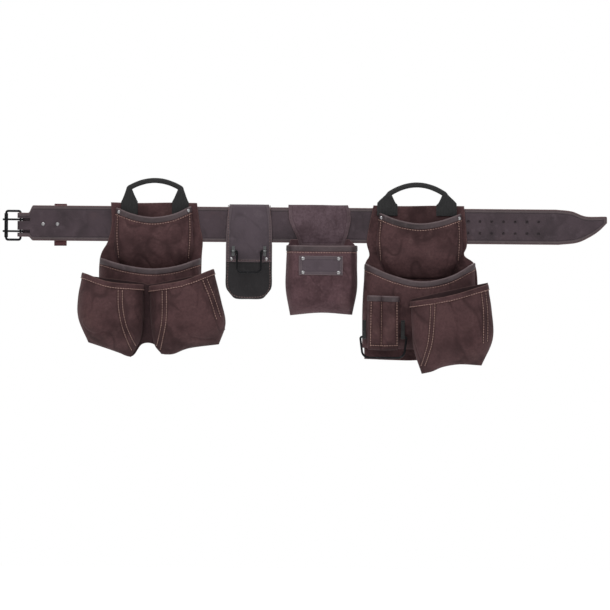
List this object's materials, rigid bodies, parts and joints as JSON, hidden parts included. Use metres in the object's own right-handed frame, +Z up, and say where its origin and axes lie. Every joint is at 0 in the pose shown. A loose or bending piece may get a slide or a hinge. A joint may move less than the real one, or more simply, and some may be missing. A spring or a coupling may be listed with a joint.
{
  "type": "tool belt",
  "caption": "Carpenter's leather tool belt with double-prong roller buckle, two pouch bags with webbing handles, a steel-loop hammer holder and a tape pouch.",
  "frame": {"origin": "middle of the strap's back face, half way up its width", "axes": "+X along the belt towards its tip, +Y towards the wearer, +Z up"},
  "size_m": [1.3055, 0.1235, 0.4136],
  "materials": {
    "belt_leather": "smooth oiled dark brown leather",
    "keeper_leather": "rough side out",
    "smooth_leather": "smooth oiled leather, creased edges",
    "suede": "oiled rough-out suede",
    "webbing": "black woven webbing",
    "black_steel": "black coated steel wire",
    "bright_steel": "bare steel",
    "rivet_nickel": "nickel plated"
  },
  "bodies": {
    "belt": {"belt_strap": "belt_leather", "belt_rivets": "rivet_nickel", "keeper_loop": "keeper_leather"},
    "buckle": {"buckle_frame": "black_steel"},
    "roller": {"buckle_roller": "black_steel"},
    "prong_upper": {"buckle_prong_upper": "black_steel"},
    "prong_lower": {"buckle_prong_lower": "black_steel"},
    "left_bag": {"left_bag_back_panel": "suede", "left_bag_tunnel": "suede", "left_bag_upper_pocket": "suede", "left_bag_upper_binding": "smooth_leather", "left_bag_middle_pocket": "suede", "left_bag_middle_binding": "smooth_leather", "left_bag_nail_panel": "suede", "left_bag_nail_pocket_left": "suede", "left_bag_nail_pocket_right": "suede", "left_bag_nail_binding_left": "smooth_leather", "left_bag_nail_binding_right": "smooth_leather", "left_bag_rivets": "rivet_nickel", "left_bag_handle_feet": "webbing"},
    "left_handle": {"left_bag_handle": "webbing"},
    "holder": {"holder_belt_loop": "smooth_leather", "holder_backing_plate": "smooth_leather", "holder_loop_clips": "bright_steel", "holder_rivets": "rivet_nickel"},
    "holder_loop": {"holder_steel_loop": "black_steel"},
    "tape_pouch": {"tape_belt_loop": "suede", "tape_loop_spacer": "suede", "tape_back_panel": "suede", "tape_pocket": "suede", "tape_binding": "smooth_leather", "tape_patch": "smooth_leather", "tape_rivets": "rivet_nickel"},
    "right_bag": {"right_bag_back_panel": "suede", "right_bag_tunnel": "suede", "right_bag_upper_pocket": "suede", "right_bag_upper_binding": "smooth_leather", "right_bag_middle_pocket": "suede", "right_bag_middle_binding": "smooth_leather", "right_bag_tool_slots": "suede", "right_bag_nail_panel": "suede", "right_bag_nail_pocket": "suede", "right_bag_nail_binding": "smooth_leather", "right_bag_rivets": "rivet_nickel", "right_bag_handle_feet": "webbing", "right_bag_loop_tabs": "webbing"},
    "right_handle": {"right_bag_handle": "webbing"},
    "hammer_loop": {"right_bag_hammer_loop": "black_steel"}
  },
  "joints": [
    {"name": "buckle_hinge", "type": "hinge", "parent": "belt", "child": "buckle", "pos_m": [-0.617, 0, -0.0055], "axis": [0, 0, 1], "range_deg": [-70, 35]},
    {"name": "roller_spin", "type": "hinge", "parent": "buckle", "child": "roller", "pos_m": [-0.648, 0, -0.0055], "axis": [0, 0, 1], "continuous": true},
    {"name": "prong_upper_hinge", "type": "hinge", "parent": "buckle", "child": "prong_upper", "pos_m": [-0.617, 0, 0.0072], "axis": [0, 0, 1], "range_deg": [0, 105]},
    {"name": "prong_lower_hinge", "type": "hinge", "parent": "buckle", "child": "prong_lower", "pos_m": [-0.617, 0, -0.0182], "axis": [0, 0, 1], "range_deg": [0, 105]},
    {"name": "left_bag_slide", "type": "slide", "parent": "belt", "child": "left_bag", "axis": [1, 0, 0], "range_m": [-0.05, 0.005]},
    {"name": "left_handle_fold", "type": "hinge", "parent": "left_bag", "child": "left_handle", "pos_m": [-0.33, -0.0087, 0.048], "axis": [1, 0, 0], "range_deg": [-80, 80], "stiffness_Nm_per_rad": 0.05},
    {"name": "holder_slide", "type": "slide", "parent": "belt", "child": "holder", "axis": [1, 0, 0], "range_m": [-0.004, 0.014]},
    {"name": "holder_loop_swing", "type": "hinge", "parent": "holder", "child": "holder_loop", "pos_m": [-0.123, -0.0106, -0.057], "axis": [-1, 0, 0], "range_deg": [-36, 95]},
    {"name": "tape_pouch_slide", "type": "slide", "parent": "belt", "child": "tape_pouch", "axis": [1, 0, 0], "range_m": [-0.014, 0.004]},
    {"name": "right_bag_slide", "type": "slide", "parent": "belt", "child": "right_bag", "axis": [1, 0, 0], "range_m": [-0.004, 0.22]},
    {"name": "right_handle_fold", "type": "hinge", "parent": "right_bag", "child": "right_handle", "pos_m": [0.25, -0.0087, 0.048], "axis": [1, 0, 0], "range_deg": [-80, 80], "stiffness_Nm_per_rad": 0.05},
    {"name": "hammer_loop_swing", "type": "hinge", "parent": "right_bag", "child": "hammer_loop", "pos_m": [0.25, -0.0568, -0.24], "axis": [-1, 0, 0], "range_deg": [0, 110]}
  ]
}
